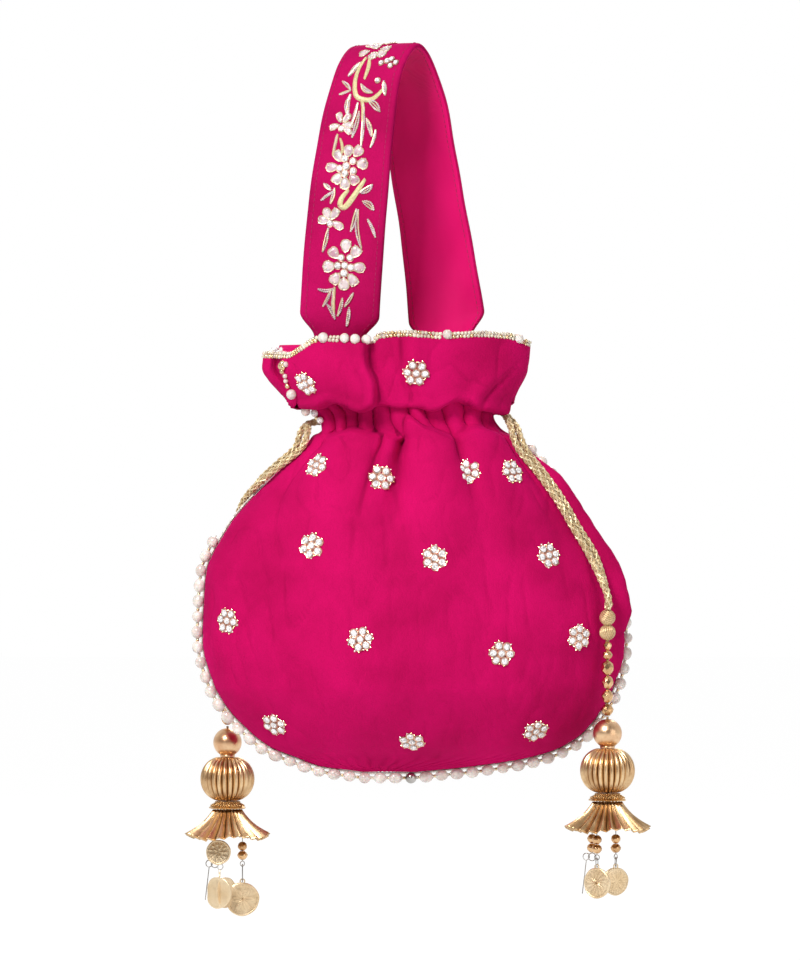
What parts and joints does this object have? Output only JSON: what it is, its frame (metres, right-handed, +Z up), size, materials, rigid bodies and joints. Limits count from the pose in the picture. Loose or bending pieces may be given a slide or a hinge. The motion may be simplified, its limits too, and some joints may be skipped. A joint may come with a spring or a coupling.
{
  "type": "potli bag",
  "caption": "Gathered velvet drawstring pouch with a carrying strap, pearl edging, stone rosettes and metal tassels",
  "frame": {"origin": "inside of the strap's crown, where a hand or hook carries the bag", "axes": "+Z up, +X to the right of the front, the front faces -Y"},
  "size_m": [0.23, 0.1, 0.4422],
  "materials": {
    "velvet_front": "short-pile velvet, matte with a soft sheen",
    "velvet_back": "short-pile velvet, matte with a soft sheen",
    "velvet_strap": "short-pile velvet, matte with a soft sheen",
    "satin_lining": "smooth satin",
    "satin_strap": "smooth satin",
    "pearl_seam": "pearl with a soft lustre",
    "pearl_rim": "pearl with a soft lustre",
    "rosette_stones": "faceted white stones in rose-gold wire",
    "strap_embroidery": "pearls, stones and gold wire work",
    "gold_cord": "braided metallic thread",
    "gold_small_beads": "faceted, polished",
    "gold_ball": "satin gold",
    "gold_melon": "satin gold with darker grooves",
    "gold_skirt": "pleated, antique gold",
    "gold_coin": "stamped pale gold"
  },
  "bodies": {
    "bag": {"front_panel": "velvet_front", "back_panel": "velvet_back", "lining": "satin_lining", "strap_face": "velvet_strap", "strap_backing": "satin_strap", "seam_pearls": "pearl_seam", "rim_pearls": "pearl_rim", "drawstring_right": "gold_cord", "drawstring_left": "gold_cord", "rosette_front_01": "rosette_stones", "rosette_front_02": "rosette_stones", "rosette_front_03": "rosette_stones", "rosette_front_04": "rosette_stones", "rosette_front_05": "rosette_stones", "rosette_front_06": "rosette_stones", "rosette_front_07": "rosette_stones", "rosette_front_08": "rosette_stones", "rosette_front_09": "rosette_stones", "rosette_front_10": "rosette_stones", "rosette_front_11": "rosette_stones", "rosette_front_12": "rosette_stones", "rosette_front_13": "rosette_stones", "rosette_front_14": "rosette_stones", "rosette_front_15": "rosette_stones", "rosette_front_16": "rosette_stones", "rosette_back_01": "rosette_stones", "rosette_back_02": "rosette_stones", "rosette_back_03": "rosette_stones", "rosette_back_04": "rosette_stones", "rosette_back_05": "rosette_stones", "rosette_back_06": "rosette_stones", "rosette_back_07": "rosette_stones", "rosette_back_08": "rosette_stones", "strap_flower_top": "strap_embroidery", "strap_flower_small_upper": "strap_embroidery", "strap_flower_upper": "strap_embroidery", "strap_flower_small_lower": "strap_embroidery", "strap_flower_lower": "strap_embroidery", "strap_flower_back": "strap_embroidery"},
    "knot_body_right": {"knot_right": "gold_cord", "bead_string_right": "gold_small_beads"},
    "tassel_right": {"core_right": "gold_cord", "ball_right": "gold_ball", "collar_ring_right": "gold_ball"},
    "melon_body_right": {"melon_right": "gold_melon"},
    "skirt_body_right": {"skirt_right": "gold_skirt"},
    "body_charm_coin_small_right": {"charm_coin_small_right": "gold_coin"},
    "body_charm_coin_large_right": {"charm_coin_large_right": "gold_coin"},
    "body_charm_pin_right": {"charm_pin_right": "gold_small_beads"},
    "knot_body_left": {"knot_left": "gold_cord", "bead_string_left": "gold_small_beads"},
    "tassel_left": {"core_left": "gold_cord", "ball_left": "gold_ball", "collar_ring_left": "gold_ball"},
    "melon_body_left": {"melon_left": "gold_melon"},
    "skirt_body_left": {"skirt_left": "gold_skirt"},
    "body_charm_coin_small_left": {"charm_coin_small_left": "gold_coin"},
    "body_charm_coin_large_left": {"charm_coin_large_left": "gold_coin"},
    "body_charm_pin_left": {"charm_pin_left": "gold_small_beads"}
  },
  "joints": [
    {"name": "knot_tilt_right", "type": "hinge", "parent": "bag", "child": "knot_body_right", "pos_m": [0.1095, -0.023, -0.2842], "axis": [1, 0, 0], "range_deg": [-40, 0]},
    {"name": "tassel_swing_right", "type": "hinge", "parent": "knot_body_right", "child": "tassel_right", "pos_m": [0.1095, -0.023, -0.3336], "axis": [0, 1, 0], "range_deg": [-45, 8]},
    {"name": "melon_spin_right", "type": "hinge", "parent": "tassel_right", "child": "melon_body_right", "pos_m": [0.1095, -0.023, -0.3636], "axis": [0, 0, 1], "continuous": true},
    {"name": "skirt_spin_right", "type": "hinge", "parent": "tassel_right", "child": "skirt_body_right", "pos_m": [0.1095, -0.023, -0.3636], "axis": [0, 0, 1], "continuous": true},
    {"name": "coin_small_swing_right", "type": "hinge", "parent": "tassel_right", "child": "body_charm_coin_small_right", "pos_m": [0.1045, -0.0265, -0.3846], "axis": [-0.5735, 0.8192, 0], "range_deg": [-3, 35]},
    {"name": "coin_large_swing_right", "type": "hinge", "parent": "tassel_right", "child": "body_charm_coin_large_right", "pos_m": [0.114, -0.0215, -0.3846], "axis": [0.3162, -0.9487, 0], "range_deg": [-3, 35]},
    {"name": "pin_swing_right", "type": "hinge", "parent": "tassel_right", "child": "body_charm_pin_right", "pos_m": [0.102, -0.018, -0.3846], "axis": [0.5547, 0.8321, 0], "range_deg": [-3, 35]},
    {"name": "knot_tilt_left", "type": "hinge", "parent": "bag", "child": "knot_body_left", "pos_m": [-0.0805, 0.028, -0.2907], "axis": [1, 0, 0], "range_deg": [0, 40]},
    {"name": "tassel_swing_left", "type": "hinge", "parent": "knot_body_left", "child": "tassel_left", "pos_m": [-0.0805, 0.028, -0.3401], "axis": [0, 1, 0], "range_deg": [-8, 45]},
    {"name": "melon_spin_left", "type": "hinge", "parent": "tassel_left", "child": "melon_body_left", "pos_m": [-0.0805, 0.028, -0.3701], "axis": [0, 0, 1], "continuous": true},
    {"name": "skirt_spin_left", "type": "hinge", "parent": "tassel_left", "child": "skirt_body_left", "pos_m": [-0.0805, 0.028, -0.3701], "axis": [0, 0, 1], "continuous": true},
    {"name": "coin_small_swing_left", "type": "hinge", "parent": "tassel_left", "child": "body_charm_coin_small_left", "pos_m": [-0.085, 0.024, -0.3911], "axis": [-0.6644, 0.7474, 0], "range_deg": [-3, 35]},
    {"name": "coin_large_swing_left", "type": "hinge", "parent": "tassel_left", "child": "body_charm_coin_large_left", "pos_m": [-0.075, 0.0295, -0.3911], "axis": [0.2631, -0.9648, 0], "range_deg": [-3, 35]},
    {"name": "pin_swing_left", "type": "hinge", "parent": "tassel_left", "child": "body_charm_pin_left", "pos_m": [-0.087, 0.033, -0.3911], "axis": [0.6097, 0.7926, 0], "range_deg": [-3, 35]}
  ]
}
